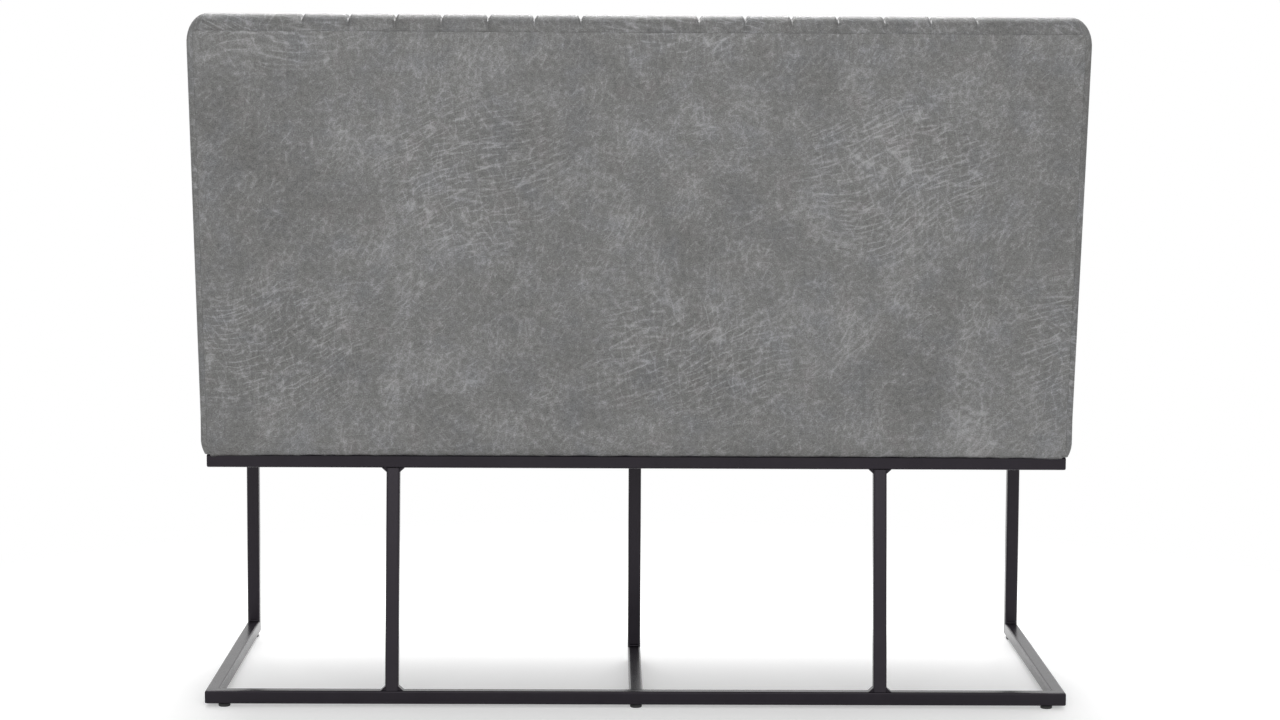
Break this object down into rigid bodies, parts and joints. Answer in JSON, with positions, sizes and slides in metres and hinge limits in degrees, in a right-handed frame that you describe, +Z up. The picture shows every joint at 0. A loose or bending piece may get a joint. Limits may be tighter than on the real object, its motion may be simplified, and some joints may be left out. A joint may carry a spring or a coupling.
{
  "type": "dining sofa",
  "caption": "High-back dining sofa with a reclined back sewn in vertical channels, a plain padded seat and a black square-tube steel underframe on screw glides.",
  "frame": {"origin": "on the floor, under the middle of the sofa's box", "axes": "+X along the width, +Y towards the rear of the sofa (the seat faces -Y), +Z up"},
  "size_m": [1.3, 0.6787, 1.027],
  "materials": {
    "frame_steel": "satin",
    "hardware": "satin",
    "spring_steel": "satin",
    "glide_plastic": "matte",
    "timber": "matte",
    "hardboard": "matte",
    "foam": "matte",
    "dust_cloth": "matte",
    "leather": "satin"
  },
  "bodies": {
    "sofa": {"floor_rail_rear": "frame_steel", "floor_rail_left": "frame_steel", "floor_rail_right": "frame_steel", "floor_rail_centre": "frame_steel", "rear_upright_left": "frame_steel", "rear_upright_right": "frame_steel", "front_leg_left": "frame_steel", "front_leg_right": "frame_steel", "centre_leg": "frame_steel", "top_rail_rear": "frame_steel", "top_rail_front": "frame_steel", "top_rail_left": "frame_steel", "top_rail_right": "frame_steel", "top_rail_centre": "frame_steel", "fixing_tab_front_left": "frame_steel", "fixing_tab_front_right": "frame_steel", "fixing_tab_rear_left": "frame_steel", "fixing_tab_rear_right": "frame_steel", "frame_screw_front_left": "hardware", "frame_screw_front_right": "hardware", "frame_screw_rear_left": "hardware", "frame_screw_rear_right": "hardware", "back_bolt_left": "hardware", "back_bolt_centre": "hardware", "back_bolt_right": "hardware", "seat_spring_1": "spring_steel", "seat_spring_2": "spring_steel", "seat_spring_3": "spring_steel", "seat_spring_4": "spring_steel", "seat_spring_5": "spring_steel", "seat_spring_6": "spring_steel", "clip_rail_front": "spring_steel", "clip_rail_rear": "spring_steel", "seat_rail_front": "timber", "seat_rail_rear": "timber", "seat_rail_left": "timber", "seat_rail_right": "timber", "seat_stretcher": "timber", "back_rail_lower": "timber", "back_rail_top": "timber", "back_post_left": "timber", "back_post_centre": "timber", "back_post_right": "timber", "back_board": "hardboard", "seat_foam": "foam", "back_foam": "foam", "rear_padding": "foam", "dust_cover": "dust_cloth", "seat_cover": "leather", "back_cover_front": "leather", "back_cover_rear": "leather"},
    "rear_left_glide": {"glide_rear_left": "glide_plastic"},
    "rear_centre_glide": {"glide_rear_centre": "glide_plastic"},
    "rear_right_glide": {"glide_rear_right": "glide_plastic"},
    "front_left_glide": {"glide_front_left": "glide_plastic"},
    "front_right_glide": {"glide_front_right": "glide_plastic"},
    "centre_glide": {"glide_centre": "glide_plastic"}
  },
  "joints": [
    {"name": "rear_left_levelling", "type": "slide", "parent": "sofa", "child": "rear_left_glide", "axis": [0, 0, -1], "range_m": [0, 0.008]},
    {"name": "rear_centre_levelling", "type": "slide", "parent": "sofa", "child": "rear_centre_glide", "axis": [0, 0, -1], "range_m": [0, 0.008]},
    {"name": "rear_right_levelling", "type": "slide", "parent": "sofa", "child": "rear_right_glide", "axis": [0, 0, -1], "range_m": [0, 0.008]},
    {"name": "front_left_levelling", "type": "slide", "parent": "sofa", "child": "front_left_glide", "axis": [0, 0, -1], "range_m": [0, 0.008]},
    {"name": "front_right_levelling", "type": "slide", "parent": "sofa", "child": "front_right_glide", "axis": [0, 0, -1], "range_m": [0, 0.008]},
    {"name": "centre_levelling", "type": "slide", "parent": "sofa", "child": "centre_glide", "axis": [0, 0, -1], "range_m": [0, 0.008]}
  ]
}
